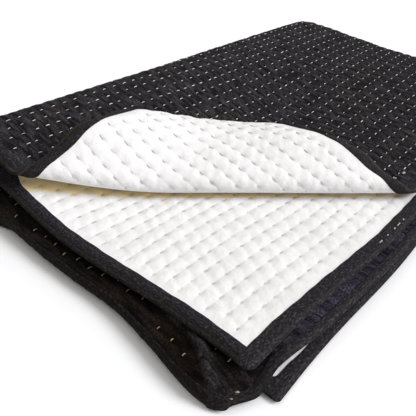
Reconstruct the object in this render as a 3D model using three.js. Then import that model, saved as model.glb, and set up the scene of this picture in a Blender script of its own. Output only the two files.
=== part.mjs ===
// Quilted throw with a black face and a white reverse, folded in quarters, its top corner rolled back.
// Millimetres, +Z up. Flat cloth is measured as u along the stitch rows and v across them.
import * as THREE from "three";

const mix = (a, b, t) => a + (b - a) * t;

// The flat throw
const LENGTH = 1900;
const WIDTH = 1110;
const PANEL = 3;
const GAP = 0.3;
const HALF = PANEL + GAP / 2;
const ROW_SPACES = 45;

// Quilting: how far the cloth stands up between two rows, how far from the binding the puffs start,
// and the upward tilt of the surface from which they show
const PUFF = { height: 2, start: 14, rise: 11, tiltNone: -0.6, tiltFull: -0.2 };

// Binding strips folded over the four edges
const BINDING_WIDTH = 20;
const BINDING_CLOTH = 1.2;
const BINDING_ROOM = 0.7;
const BINDING_IN = HALF + BINDING_ROOM;
const BINDING_OUT = BINDING_IN + BINDING_CLOTH;
const EDGE_GAP = 0.8;
const BINDING_EDGE = EDGE_GAP + BINDING_CLOTH;
const BINDING_PROUD = BINDING_OUT - HALF;
const ROW_PITCH = (WIDTH - 2 * BINDING_WIDTH) / ROW_SPACES;

// The lengthwise fold is a hairpin at the far left, a little askew to the rows.
const HAIRPIN = { radius: 16, yStart: 545, yEnd: 509, vStart: 540, vEnd: 563.5 };
const HAIRPIN_HALF = (HAIRPIN.radius * Math.PI) / 2;

// The second fold is across the rows at the far right. Two cloth layers go round it, one inside the other.
const FOLD_X = 890;
const EDGE_X = { outer: 8, inner: 0 };

// The far corner, where the two folds meet, is drawn in over this stretch of u.
const CORNER = { drawIn: 11, span: [820, 925, 965, 1080], reach: 300 };

// Middle height of each layer near the open corner, at the two folds and where the folds meet
const LAYERS = {
  top: { near: 54, left: 107, right: 95, corner: 109 },
  second: { near: 41, left: 68, right: 77, corner: 91 },
  third: { near: 27, left: HALF + 2 * HAIRPIN.radius, right: 22, corner: HALF + 2 * HAIRPIN.radius },
  bottom: { near: HALF, left: HALF, right: HALF, corner: HALF },
};
const RISE_X = { from: 450, to: FOLD_X };
const RISE_Y = { span: 275 };

// The top corner is rolled back over a crease between these distances from the corner.
const CREASE = { u: 432, v: 408 };
const CREASE_SLANT = Math.hypot(CREASE.u, CREASE.v);
const FLAP = (CREASE.u * CREASE.v) / CREASE_SLANT;
const ROLL = [
  { part: "front bend", turn: 149, radius: 15, steps: 5 },
  { part: "dome", turn: 31, radius: 206, steps: 2 },
  { part: "back bend", turn: 180, radius: 20.5, steps: 6 },
];
const TIGHT = { radius: 50, margin: 12 };

// The rolled corner lies low at first along its two bound edges, swells up beside them and dips at its crest.
const CURL_LEFT = { drop: 14, past: [0, 55, 60, 100] };
const CURL_RIGHT = { drop: 11, past: [0, 50, 53, 82] };
const CURL_REACH = 40;
const CREST = { drop: 9, past: [90, 145, 165, 200] };
const SWELL = { size: 8, side: [0, 20, 30, 140], past: [50, 95, 105, 155] };

// The third layer sticks out at the left front, drops to the floor and curls under. Near the open corner
// it is pulled out more and tucked in.
const DROP = { x: -3, radius: 12, turn: 138, slack: 3.7, fade: 110, clear: 0.5 };
const PULL = { size: 24, x: -28, y: 35, span: 180, reach: 250, turn: 95 };
const TUCK = { size: 20, y: -13, reach: 80 };

// It also sticks out at the right front, along this stretch of x.
const FLARE = { size: 11, span: [0, 80, 150, FOLD_X], reach: 200 };

// Uneven edges, in size, wavelength and the distance in which they die out
const WAVE = { size: 3, length: 420, phase: 0.2, reach: 250 };
const LIFT_REACH = 60;

// Steps along the rows: the distances from an edge, the knees of the heights and the turns of the cross fold
const EDGE_STEPS = [0, BINDING_WIDTH, BINDING_WIDTH + PUFF.start];
const DROP_STEPS = [50, 40, 30, 25, BINDING_WIDTH / 2];
const KNEES = [RISE_X.from, mix(RISE_X.from, RISE_X.to, 0.4), mix(RISE_X.from, RISE_X.to, 0.8)];
const LOW_KNEES = [FLARE.span[1]];
const FOLD_TURNS = 5;
const SHARED_LINES = 6;
const STEP_CLEAR = 4;
const SAME_STEP = 0.01;
const PROBE = 0.5;

const BLACK = 0x1d1c1f;
const WHITE = 0xf2efe6;

const radians = (degrees) => (degrees * Math.PI) / 180;
const clamp = (value) => Math.min(1, Math.max(0, value));

function ease(t) {
  const s = clamp(t);
  return s * s * (3 - 2 * s);
}

// 0 up to the first stop, 1 between the middle two and 0 again past the last
function riseAndFall(t, [start, full, hold, end]) {
  return ease((t - start) / (full - start)) * (1 - ease((t - hold) / (end - hold)));
}

// A point along a section made of bends, starting flat and facing back: how far it went and how high
function followBends(bends, path) {
  let left = path;
  let heading = 0;
  let ahead = 0;
  let height = 0;
  for (const { turn, radius } of bends) {
    const angle = Math.min(left / radius, radians(turn));
    ahead += radius * (Math.sin(heading + angle) - Math.sin(heading));
    height += radius * (Math.cos(heading) - Math.cos(heading + angle));
    heading += angle;
    left -= radius * angle;
    if (left <= 0) break;
  }
  return { ahead: ahead + left * Math.cos(heading), height: height + left * Math.sin(heading) };
}

const hairpinY = (u) => mix(HAIRPIN.yStart, HAIRPIN.yEnd, u / LENGTH);
const hairpinV = (u) => mix(HAIRPIN.vStart, HAIRPIN.vEnd, u / LENGTH);

// Where v lies across the lengthwise fold: its y, and its share of the way from outer layer (0) to inner (1)
function acrossFold(u, v) {
  const past = v - hairpinV(u);
  const angle = Math.min(Math.PI / 2, Math.max(-Math.PI / 2, past / HAIRPIN.radius));
  const flat = Math.max(0, Math.abs(past) - HAIRPIN_HALF);
  const drawn = CORNER.drawIn * riseAndFall(u, CORNER.span) * (1 - ease(flat / CORNER.reach));
  const y = hairpinY(u) + HAIRPIN.radius * Math.cos(angle) - flat - drawn;
  return { y, inner: (1 + Math.sin(angle)) / 2 };
}

function layerHeight(layer, x, y, foldY) {
  const right = ease((x - RISE_X.from) / (RISE_X.to - RISE_X.from));
  const left = ease((y - foldY + RISE_Y.span) / RISE_Y.span);
  return mix(mix(layer.near, layer.left, left), mix(layer.right, layer.corner, left), right);
}

function upperHeight(x, y, inner, foldY) {
  return mix(layerHeight(LAYERS.top, x, y, foldY), layerHeight(LAYERS.second, x, y, foldY), inner);
}

function lowerHeight(x, y, inner, foldY) {
  return mix(layerHeight(LAYERS.bottom, x, y, foldY), layerHeight(LAYERS.third, x, y, foldY), inner);
}

// Lengths along the rows of a line of cloth at v: its top run, then its half turn round the cross fold
function runsAt(u, v) {
  const { y, inner } = acrossFold(u, v);
  const foldY = hairpinY(u);
  const top = upperHeight(FOLD_X, y, inner, foldY);
  const low = lowerHeight(FOLD_X, y, inner, foldY);
  const edge = mix(EDGE_X.outer, EDGE_X.inner, inner);
  const radius = (top - low) / 2;
  return { edge, run: FOLD_X - edge, radius, turnLength: radius * Math.PI, middle: (top + low) / 2 };
}

// How far a point is past the crease, towards the free corner
const pastCrease = (u, v) => FLAP * (1 - u / CREASE.u - v / CREASE.v);

// Whether a point that far past the crease is in a tight bend of the roll or near one
function inTightBend(past) {
  let start = 0;
  return ROLL.some(({ turn, radius }) => {
    const from = start;
    start += radius * radians(turn);
    return radius < TIGHT.radius && past > from - TIGHT.margin && past < start + TIGHT.margin;
  });
}

// How long the dropped cloth is when its bound edge just clears the floor, for a turn in radians
function dropLength(turn, z) {
  const under = BINDING_OUT * Math.abs(Math.cos(turn)) + BINDING_EDGE * Math.sin(turn) + DROP.clear;
  const bendFall = DROP.radius * (1 - Math.cos(turn));
  return DROP.radius * turn + (z - under - bendFall) / Math.sin(turn);
}

const pullAt = (y) => 1 - ease(Math.abs(y - PULL.y) / PULL.span);
const pulled = (x, y) => x - PULL.size * pullAt(y) * (1 - ease(x / PULL.reach));
const dropStart = (y) => mix(DROP.x, PULL.x, pullAt(y));

// The layer that hangs over the left front edge, at x if it went on level, its edge at edgeX
function dropped(x, y, z, edgeX, foldY) {
  const free = DROP.turn - DROP.slack * (z - LAYERS.third.near);
  const turn = mix(free, PULL.turn, pullAt(y));
  const start = dropStart(y);
  const share = ease((foldY - y) / DROP.fade);
  const path = (start - x) * mix(1, dropLength(radians(turn), z) / (start - edgeX), share);
  const { ahead, height } = followBends([{ turn: turn * share, radius: DROP.radius }], path);
  const tuck = TUCK.size * clamp(ahead / DROP.radius) * (1 - ease((y - TUCK.y) / TUCK.reach));
  return new THREE.Vector3(start - ahead, y + tuck, z - height);
}

// How far the third layer sticks out at the right front
const flareAt = (x, y) => FLARE.size * riseAndFall(x, FLARE.span) * (1 - ease(y / FLARE.reach));

// Room under the bottom layer for its binding
function bindingLift(u, v) {
  const edge = Math.min(v, LENGTH - u);
  return BINDING_PROUD * (1 - ease((edge - BINDING_WIDTH) / LIFT_REACH));
}

function waved(point, inner) {
  const swing = Math.sin((2 * Math.PI * point.y) / WAVE.length + WAVE.phase * inner);
  const sway = Math.sin((2 * Math.PI * Math.min(point.x, FOLD_X)) / WAVE.length + WAVE.phase * inner);
  point.x += WAVE.size * swing * (1 - ease(point.x / WAVE.reach));
  point.y += WAVE.size * sway * (1 - ease(point.y / WAVE.reach));
  return point;
}

// The folded throw without its rolled corner: the middle of the cloth at u and v
function foldedPoint(u, v) {
  const { y, inner } = acrossFold(u, v);
  const foldY = hairpinY(u);
  const { edge, run, radius, turnLength, middle } = runsAt(u, v);
  if (u <= run) {
    const x = edge + u;
    return waved(new THREE.Vector3(x, y, upperHeight(x, y, inner, foldY)), inner);
  }
  const lift = (1 - inner) * bindingLift(u, v);
  if (u < run + turnLength) {
    const angle = (u - run) / radius;
    const x = FOLD_X + radius * Math.sin(angle);
    const z = middle + radius * Math.cos(angle) + lift * ease(angle / Math.PI);
    return waved(new THREE.Vector3(x, y, z), inner);
  }
  const level = FOLD_X - (u - run - turnLength);
  const x = mix(level, pulled(level, y), inner);
  const z = lowerHeight(x, y, inner, foldY);
  const edgeX = pulled(FOLD_X - (LENGTH - run - turnLength), y);
  if (inner === 1 && x < dropStart(y)) return waved(dropped(x, y, z, edgeX, foldY), inner);
  const flare = inner === 1 ? flareAt(x, y) : 0;
  return waved(new THREE.Vector3(x, y - flare, z + lift), inner);
}

// How far the rolled corner lies higher than its plain roll
function rolledLift(u, v, past) {
  const side = Math.min(u, v);
  const near = Math.max(0, 1 - side / CURL_REACH);
  const own = u < v ? CURL_LEFT : CURL_RIGHT;
  const curl = own.drop * riseAndFall(past, own.past) + CREST.drop * riseAndFall(past, CREST.past);
  return SWELL.size * riseAndFall(side, SWELL.side) * riseAndFall(past, SWELL.past) - curl * near * near;
}

function middlePoint(u, v) {
  const past = pastCrease(u, v);
  if (past <= 0) return foldedPoint(u, v);
  const { ahead, height } = followBends(ROLL, past);
  const shift = past - ahead;
  const point = foldedPoint(u + (shift * CREASE.v) / CREASE_SLANT, v + (shift * CREASE.u) / CREASE_SLANT);
  point.z += height + rolledLift(u, v, past);
  return point;
}

// The way the black face looks at u and v
function faceNormal(u, v) {
  const along = middlePoint(u + PROBE, v).sub(middlePoint(u - PROBE, v));
  const across = middlePoint(u, v + PROBE).sub(middlePoint(u, v - PROBE));
  return along.cross(across).normalize();
}

function offsetPoint(u, v, offset) {
  return middlePoint(u, v).addScaledVector(faceNormal(u, v), offset);
}

// The cloth stands up between two rows where it is free, not under the binding or where it looks down.
function puffAt(u, v, side) {
  const rowPlace = (v - BINDING_WIDTH) / ROW_PITCH;
  const edge = Math.min(u, v, LENGTH - u, WIDTH - v) - BINDING_WIDTH;
  const free = clamp(edge / PUFF.rise);
  const up = ease((side * faceNormal(u, v).z - PUFF.tiltNone) / (PUFF.tiltFull - PUFF.tiltNone));
  return PUFF.height * Math.abs(Math.sin(Math.PI * rowPlace)) * free * up;
}

// Lines of constant v: the edges, the rows and the lines midway between the rows
function clothLines() {
  const lines = [{ v: 0, every: true }];
  for (let k = 0; k <= 2 * ROW_SPACES; k++) {
    const v = BINDING_WIDTH + (k * ROW_PITCH) / 2;
    const pastHairpin = v - (HAIRPIN.vStart + HAIRPIN.vEnd) / 2;
    const turning = pastHairpin > -2 * HAIRPIN_HALF && pastHairpin < 2 * HAIRPIN_HALF + DROP.fade;
    const row = k % 2 === 0;
    const past = pastCrease(0, v);
    const pulledOut = row && v > WIDTH - PULL.y - PULL.span;
    const curled = row && past > 0 && past < CURL_LEFT.past.at(-1) + TIGHT.margin;
    const shared = k === 2 * ROW_SPACES || k % SHARED_LINES === 0;
    lines.push({ v, every: turning || pulledOut || curled || shared || inTightBend(past), row });
  }
  lines.push({ v: WIDTH, every: true });
  return lines;
}

// Steps along one line, each with a key that pairs it with the like step of the next line
function stepsAlong(v) {
  const steps = [];
  const creaseU = Math.max(0, CREASE.u * (1 - v / CREASE.v));
  const pathPerU = FLAP / CREASE.u;
  for (const u of EDGE_STEPS) steps.push({ u, key: u < creaseU ? -(creaseU - u) * pathPerU : u });
  let path = 0;
  for (const { turn, radius, steps: count } of ROLL) {
    for (let i = 0; i <= count; i++) {
      const u = creaseU - (path + (radius * radians(turn) * i) / count) / pathPerU;
      if (u > EDGE_STEPS.at(-1) + STEP_CLEAR && creaseU > 0) steps.push({ u, key: (u - creaseU) * pathPerU });
    }
    path += radius * radians(turn);
  }
  const start = runsAt(FOLD_X, v);
  for (const x of KNEES) steps.push({ u: x - start.edge, key: x });
  for (let i = 0; i <= FOLD_TURNS; i++) {
    steps.push({ u: start.run + (start.turnLength * i) / FOLD_TURNS, key: FOLD_X + i });
  }
  for (const x of LOW_KNEES) {
    const u = start.run + start.turnLength + FOLD_X - x;
    if (u < LENGTH - DROP_STEPS[0] - STEP_CLEAR) steps.push({ u, key: 2 * FOLD_X - x });
  }
  for (const edge of [...DROP_STEPS, ...EDGE_STEPS]) steps.push({ u: LENGTH - edge, key: LENGTH - edge });
  steps.sort((a, b) => a.u - b.u);
  return steps.filter((step, i) => i === 0 || step.u - steps[i - 1].u > SAME_STEP);
}

// Collects points and triangles, and joins two lines of keyed points into a strip
class Surface {
  constructor() {
    this.points = [];
    this.triangles = [];
  }

  add(point) {
    this.points.push(point.x, point.y, point.z);
    return this.points.length / 3 - 1;
  }

  line(steps, place) {
    return steps.map((step) => ({ key: step.key, index: this.add(place(step)) }));
  }

  triangle(a, b, c, flip) {
    this.triangles.push(...(flip ? [a, c, b] : [a, b, c]));
  }

  strip(first, second, flip) {
    let i = 0;
    let j = 0;
    while (i < first.length - 1 || j < second.length - 1) {
      const stepFirst =
        j === second.length - 1 || (i < first.length - 1 && first[i + 1].key <= second[j + 1].key);
      if (stepFirst) {
        this.triangle(first[i].index, second[j].index, first[i + 1].index, !flip);
        i += 1;
      } else {
        this.triangle(first[i].index, second[j].index, second[j + 1].index, !flip);
        j += 1;
      }
    }
  }

  at(index) {
    return new THREE.Vector3().fromArray(this.points, 3 * index);
  }

  // Joins two lines of as many points, each quad split so that it bows the way that away gives
  wall(first, second, away, flip) {
    for (let i = 1; i < first.length; i++) {
      const [p, q, r, s] = [first[i - 1], second[i - 1], second[i], first[i]].map(({ index }) => index);
      const bow = this.at(p).add(this.at(r)).sub(this.at(q)).sub(this.at(s));
      const [a, b] = bow.dot(away(i)) > 0 ? [r, p] : [s, q];
      this.triangle(p, q, a, !flip);
      this.triangle(b, r, s, !flip);
    }
  }

  geometry() {
    const geometry = new THREE.BufferGeometry();
    geometry.setAttribute("position", new THREE.Float32BufferAttribute(this.points, 3));
    geometry.setIndex(this.triangles);
    geometry.computeVertexNormals();
    return geometry;
  }
}

// One side of a panel as lines of points
function panelSide(surface, lines, offsetAt) {
  return lines.map(({ v }) => ({
    v,
    points: surface.line(stepsAlong(v), ({ u }) => offsetPoint(u, v, offsetAt(u, v))),
  }));
}

const lineEnds = (side, end) => side.map(({ v, points }) => ({ key: v, index: points.at(end).index }));

// A panel: its quilted outer side, plain inner side and the four walls between. side is 1 for the face.
function panelGeometry(side, lines) {
  const surface = new Surface();
  const outer = panelSide(surface, lines, (u, v) => side * (HALF + puffAt(u, v, side)));
  const inner = panelSide(surface, lines.filter((line) => line.every), () => (side * GAP) / 2);
  const flip = side < 0;
  for (let i = 1; i < outer.length; i++) surface.strip(outer[i - 1].points, outer[i].points, flip);
  for (let i = 1; i < inner.length; i++) surface.strip(inner[i - 1].points, inner[i].points, !flip);
  surface.strip(inner[0].points, outer[0].points, flip);
  surface.strip(outer.at(-1).points, inner.at(-1).points, flip);
  surface.strip(lineEnds(outer, 0), lineEnds(inner, 0), flip);
  surface.strip(lineEnds(inner, -1), lineEnds(outer, -1), flip);
  return surface.geometry();
}

// A binding strip is a channel: lines along the edge, joined all round and capped at both ends.
// lineAt gives the points of one line, reach 0 at the binding's inner edge and 1 past the cloth's edge.
function bindingGeometry(lineAt, reaches, edgeFirst, flip) {
  const surface = new Surface();
  const add = (order, offset, past) =>
    order.map((reach) => ({ reach, line: lineAt(surface, reach, offset, past) }));
  const outIn = [...reaches].reverse();
  const ring = [
    ...add(reaches, BINDING_OUT, BINDING_EDGE),
    ...add(outIn, -BINDING_OUT, BINDING_EDGE),
    ...add(reaches, -BINDING_IN, EDGE_GAP),
    ...add(outIn, BINDING_IN, EDGE_GAP),
  ];
  const outward = (i) => {
    const [a, b, c, d] = ring.filter(({ reach }) => reach === 1).map(({ line }) => surface.at(line[i].index));
    return a.add(b).sub(c).sub(d);
  };
  ring.forEach(({ reach, line }, i) => {
    const next = ring[(i + 1) % ring.length];
    if (reach === 1 && next.reach === 1) surface.wall(line, next.line, outward, flip);
    else if (reach > next.reach === edgeFirst) surface.strip(line, next.line, flip);
    else surface.strip(next.line, line, !flip);
  });
  for (let k = 0; k < 2 * reaches.length - 1; k++) {
    for (const [end, turned] of [[0, flip], [-1, !flip]]) {
      const [p, q, r, s] = [k, k + 1, -2 - k, -1 - k].map((place) => ring.at(place).line.at(end).index);
      surface.triangle(p, q, r, turned);
      surface.triangle(p, r, s, turned);
    }
  }
  return surface.geometry();
}

// A strip along an edge that runs with the rows, over the whole length and past both ends
function longBinding(edgeV, inward) {
  const lineAt = (surface, reach, offset, past) => {
    const v = reach ? edgeV - inward * past : edgeV + inward * BINDING_WIDTH;
    const steps = stepsAlong(reach ? edgeV : v);
    steps[0].u = -BINDING_EDGE;
    steps.at(-1).u = LENGTH + BINDING_EDGE;
    return surface.line(steps, ({ u }) => offsetPoint(u, v, offset));
  };
  return bindingGeometry(lineAt, [0, 1], inward > 0, inward > 0);
}

// A strip along an edge across the rows, butted between the two long strips
function shortBinding(edgeU, inward, lines, reaches) {
  const inside = BINDING_WIDTH + GAP;
  const middle = lines.map(({ v }) => v).filter((v) => v > inside && v < WIDTH - inside);
  const stations = [inside, ...middle, WIDTH - inside].map((v) => ({ v, key: v }));
  const lineAt = (surface, reach, offset, past) => {
    const u = edgeU + inward * (reach === 1 ? -past : BINDING_WIDTH * (1 - reach));
    return surface.line(stations, ({ v }) => offsetPoint(u, v, offset));
  };
  return bindingGeometry(lineAt, reaches, inward > 0, inward < 0);
}

function clothMesh(name, geometry, color) {
  const material = new THREE.MeshStandardMaterial({ color, roughness: 0.95, metalness: 0 });
  const mesh = new THREE.Mesh(geometry, material);
  mesh.name = name;
  return mesh;
}

function quiltedThrow() {
  const lines = clothLines();
  const faceLines = lines.filter((line) => line.every || line.row || line.v < HAIRPIN.vStart);
  const rowLines = lines.filter((line) => line.every || line.row || line.v < CREASE.v);
  const backLines = lines.filter((line) => rowLines.includes(line) || line.v > WIDTH - CREASE.v);
  const pieces = new THREE.Group();
  pieces.add(
    clothMesh("face_panel", panelGeometry(1, faceLines), BLACK),
    clothMesh("back_panel", panelGeometry(-1, backLines), WHITE),
    clothMesh("binding_long_a", longBinding(0, 1), BLACK),
    clothMesh("binding_long_b", longBinding(WIDTH, -1), BLACK),
    clothMesh("binding_short_a", shortBinding(0, 1, rowLines, [0, 1]), BLACK),
    clothMesh("binding_short_b", shortBinding(LENGTH, -1, rowLines, [0, 0.5, 1]), BLACK),
  );
  const box = new THREE.Box3().setFromObject(pieces);
  const centre = box.getCenter(new THREE.Vector3());
  pieces.position.set(-centre.x, -centre.y, -box.min.z);
  const group = new THREE.Group();
  group.add(pieces);
  return group;
}

export default quiltedThrow();
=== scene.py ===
"""Looks of a quilted throw folded in quarters: fine cloth, stitches and bindings on its solids' folds."""
import math

import bpy
import numpy as np
from mathutils import Matrix, Vector


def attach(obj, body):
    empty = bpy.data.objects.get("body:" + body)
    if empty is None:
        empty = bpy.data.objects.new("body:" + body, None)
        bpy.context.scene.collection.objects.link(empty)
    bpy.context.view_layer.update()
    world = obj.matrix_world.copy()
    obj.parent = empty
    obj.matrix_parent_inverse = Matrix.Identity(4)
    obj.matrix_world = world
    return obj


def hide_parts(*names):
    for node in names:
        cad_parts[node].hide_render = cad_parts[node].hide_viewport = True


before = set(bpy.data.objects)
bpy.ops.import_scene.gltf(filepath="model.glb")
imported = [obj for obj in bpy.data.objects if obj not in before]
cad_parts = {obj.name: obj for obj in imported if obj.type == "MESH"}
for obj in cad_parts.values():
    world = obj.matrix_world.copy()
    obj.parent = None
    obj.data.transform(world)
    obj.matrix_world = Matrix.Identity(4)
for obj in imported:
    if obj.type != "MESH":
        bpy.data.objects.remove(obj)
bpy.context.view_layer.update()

MM = 0.001
SEED = 11

# The two sides of the cloth, as signs of the way out from its middle
FACE = 1
REVERSE = -1

# The flat throw in millimetres, u along the stitch rows and v across them
LENGTH = 1900
WIDTH = 1110
PANEL = 3
GAP = 0.3
HALF = PANEL + GAP / 2

# Binding strips of the solids, folded over the four edges
BINDING_WIDTH = 20
BINDING_PROUD = 1.9
BINDING_OUT = HALF + BINDING_PROUD
BINDING_EDGE = 2.0

# The lengthwise fold is a hairpin at the far left, a little askew to the rows.
HAIRPIN_RADIUS = 16
HAIRPIN_HALF = HAIRPIN_RADIUS * math.pi / 2
HAIRPIN_Y = (545, 509)
HAIRPIN_V = (540, 563.5)

# The cross fold is at the far right. The free edges start at these x, for the outer and inner layer.
FOLD_X = 890
EDGE_X = (8, 0)
EDGE_Y = -13

# The far corner, where the two folds meet, is drawn in over this stretch of u.
CORNER_IN = 11
CORNER_U = (820, 925, 965, 1080)
CORNER_REACH = 300

# Middle height of each layer near the open corner, at the left fold, the right fold and where they meet
TOP = (54, 107, 95, 109)
SECOND = (41, 68, 77, 91)
THIRD = (27, HALF + 2 * HAIRPIN_RADIUS, 22, HALF + 2 * HAIRPIN_RADIUS)
BOTTOM = (HALF, HALF, HALF, HALF)
RISE_FROM = 450
RISE_SPAN = 275

# The top corner is rolled back over a crease between these places, in bends of turn and radius.
CREASE_U = 432
CREASE_V = 408
CREASE_SLANT = math.hypot(CREASE_U, CREASE_V)
FLAP = CREASE_U * CREASE_V / CREASE_SLANT
ROLL = ((math.radians(149), 15), (math.radians(31), 206), (math.radians(180), 20.5))

# Along its bound edges the rolled corner lies low at first, and further back it swells up beside them.
CURL_REACH = 40
CURL_DROP = (14, 11)
CURL_PAST = ((0, 55, 60, 100), (0, 50, 53, 82))
CREST_DROP = 9
CREST_PAST = (90, 145, 165, 200)
SWELL_SIZE = 8
SWELL_SIDE = (0, 20, 30, 140)
SWELL_PAST = (50, 95, 105, 155)

# The third layer sticks out at the left front and drops to the floor. Near the corner it is pulled out more.
DROP_X = -3
DROP_RADIUS = 12
DROP_TURN = math.radians(138)
DROP_SLACK = math.radians(3.7)
DROP_FADE = 110
DROP_CLEAR = 0.5
PULL_SIZE = 24
PULL_X = -28
PULL_Y = 35
PULL_SPAN = 180
PULL_REACH = 250
PULL_TURN = math.radians(95)
TUCK_SIZE = 19
TUCK_SPAN = (8, -38)
TUCK_REACH = 80

# It also sticks out at the right front, along this stretch of x.
FLARE_SIZE = 11
FLARE_SPAN = (25, 130, 150, FOLD_X)
FLARE_REACH = 200

# At the near corner the third layer sags to the floor.
SAG_SIZE = 17
SAG_SPAN = (-2, 38)
SAG_REACH = 45

# Uneven edges, and how far in from its binding the bottom layer is lifted
WAVE_SIZE = 3
WAVE_LENGTH = 420
WAVE_PHASE = 0.2
WAVE_REACH = 250
LIFT_REACH = 60

# The middle of the solids' box in the folding's own coordinates, and the step that measures the cloth's tilt
CENTRE = np.array((451.13, 267.46, 0.0))
PROBE = 0.5

# The cloth as it looks: its surface's distance from the middle, the share left where the binding presses it
CLOTH_HALF = 2.4
PRESSED = 0.4

# Rounding of the four corners, by the end of the rows and the edge that they lie at
CORNER_ROUND = {(0, 0): 6, (0, 1): 9, (1, 0): 4, (1, 1): 12}

# A binding's section from its inner edge to its round nose: distance in from the edge, height over the cloth
STRIP_SECTION = ((19.2, 0), (20, 0.5), (19.4, 0.9), (18.5, 1.1), (16, 1.1), (12, 1.1), (8, 0.9), (5, 0.5))
NOSE_START = 3.0
NOSE_POINTS = 6
STRIP_NOSE = 2.6

# A strip's length: its mesh step, its rounded ends and how far a short one runs under a long one
STRIP_STEP = 3
CAP_LONG = 3.5
CAP_SHORT = 1.0
CAP_STEPS = 5
JOINT_UNDER = 2

# Strips have another width on a stretch of their length: its share at first, at the end, and the stretch.
UNDER_SPAN = (950, 1050, LENGTH - 23, LENGTH - 19)
STRIP_SHARE = {
    "strip_long_a": (0.58, 0.86, UNDER_SPAN),
    "strip_long_b": (0.55, 0.55, UNDER_SPAN),
    "strip_short_a": (1.5, 1.5, (560, 580, 645, 690)),
    "strip_short_b": (1, 1, UNDER_SPAN),
}
SHARE_TAPER = 95

# Puckers along a strip's seam, on the cloth's reverse and its face, and the strip's wavy inner edge
PUCKER_LENGTHS = ((13, 19, 31, 57), (12, 21, 33, 61))
PUCKER_SIZE = 0.91
PUCKER_LOW = -0.6
PUCKER_MIDDLE = 12
PUCKER_WIDE = 7
EDGE_LENGTHS = (37, 90, 170)
EDGE_SIZE = 0.9
EDGE_SPAN = (8, 18)

# Strips get a highlight painted in patches in a line along their fold, most on the rolled corner, which is
# also a little lighter all over.
FOLD_HIGHLIGHT_LINE = 1.5
FOLD_HIGHLIGHT_WIDE = 1.4
ROLLED_LIGHTER = 0.1
FLAT_FOLD_HIGHLIGHT = 0.25

# Strips are darker on the rolled corner, and get painted shade on the outer edge at the left and where they
# hang, less at the lip.
ROLLED_DARK = 0.3
NOSE_PAINTED_SHADE = {"strip_long_a": 0, "strip_long_b": 0, "strip_short_a": 0.6, "strip_short_b": 0}
NOSE_SPAN = (5, 12)
STRIP_HUNG_PAINTED_SHADE = (0.85, 0.55)
LIP_SPAN = (15, 19)

# Stitch rows: their spacing, how neighbours drift together and how each wanders by itself
ROW_SPACES = 49
ROW_PITCH = (WIDTH - 2 * BINDING_WIDTH) / ROW_SPACES
DRIFT_SIZE = 5
DRIFT_STEP = (150, 130)
DRIFT_ROWS = 3
WOBBLE_SIZE = (0.4, 1.2)
WOBBLE_LENGTH = (260, 620)

# Quilting of the face and the reverse: puffs between rows, higher on the loose third layer
PUFF_HEIGHT = {FACE: 1.4, REVERSE: 0.75}
PUFF_ROUND = 0.75
PUFF_RISE = 14
PUFF_TILT = (-0.6, -0.2)
LOOSE_PUFF = 2.2

# Creases from stitch to stitch, and crinkles by their lengths along and across the rows and their size
CREASE_DEEP = {FACE: 0.95, REVERSE: 1.2}
CREASE_WIDE = 2.6
CREASE_MIDDLE = 0.55
CRINKLES = {FACE: ((9, 45, 0.9), (6, 30, 0.4)), REVERSE: ((17, 20, 0.6), (9, 9, 0.3))}
CRINKLE_SEWN = 0.35

# Dimples around the stitches and grooves that the thread lies in, and the width of the shade painted in these
# grooves on the reverse
DIMPLE_DEEP = {FACE: 0.5, REVERSE: 0.55}
DIMPLE_WIDE = 5
DIMPLE_SOFT = 7.0
GROOVE_DEEP = {FACE: 0.5, REVERSE: 0.7}
GROOVE_WIDE = 1.3
GROOVE_SOFT = 2.0
GROOVE_SHADE_WIDE = 1.1

# The part that hangs at the left front gets a painted brown shade, darkest beside its binding and in the
# hollow below a pleat, with painted light on the pleat's crest. The pleat runs along it and down to the near
# corner.
HUNG_WIDE = 120
HUNG_SOFT = 30
HUNG_CORNER = 35
HUNG_AT_CORNER = 0.5
HUNG_PAINTED_SHADE = 0.86
HUNG_SEAM_SHADE = 5
PLEAT_HIGH = 8
PLEAT_FROM_END = (21, 49)
PLEAT_SIDE = (12, 100)
PLEAT_FADE = (110, 170)
PLEAT_CREST = (-4, 2, 5, 20)
PLEAT_HOLLOW = (-30, -12, -6, -2)
PLEAT_PAINTED_LIGHT = 0.86
PLEAT_PAINTED_SHADE = 0.14

# Running stitches: their repeat from the first row to the last, length along the row and how these vary
STITCH_PERIOD = (18.5, 24)
STITCH_JITTER = 0.16
ROW_START = -5
STITCH_FACE = 6.5
STITCH_VARY = (0.65, 1.3)
STITCH_BACK = 7
DASH_VARY = (0.75, 1.25)
STITCH_TILT = 0.14
SEAM_CLEAR = 3

# Their thread: half its width and height, how deep it lies, and its bow and taper at shares of its length
THREAD_WIDE = {FACE: 0.82, REVERSE: 0.5}
THREAD_HIGH = 0.5
THREAD_VARY = (0.75, 1.2)
THREAD_SUNK = 0.5
THREAD_SHARES = (0, 0.16, 0.5, 0.84, 1)
THREAD_BOW = (-1.0, 0.1, 0.45, 0.1, -1.0)
THREAD_TAPER = (0.6, 1, 1, 1, 0.6)
THREAD_SIDES = 5

# Shades of the thread, random for free stitches and a painted warm shade for hanging ones, and how near the
# end of the rows a stitch of the third layer hangs
HUNG_STITCH = 100
PAINTED_SHADE_HUNG = (0, 0.15)
SHADE_FREE = (0.3, 1)
SHADE_STOPS = (0.0, 0.25, 1.0)

# Loose thread: start and end along the rows, place across them, height over a stitch, share of its thickness
SEAM_STARTS = (287, 291, 310, 331, 342, 347, 361)
SEAM_STITCH = 3
SEAM_PLACE = (WIDTH - 7.5, 2.0, 1.7)
LOOSE_THREAD = {
    FACE: (
        (453, 459, 36, 2.2, 2.6),
        (429, 433, 38, 2.2, 1.5),
        (1855, 1859, 1099, 1.9, 1.5),
        (1866, 1869, 1105, 1.6, 1.5),
    ),
    REVERSE: tuple((start, start + SEAM_STITCH, *SEAM_PLACE) for start in SEAM_STARTS),
}

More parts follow.
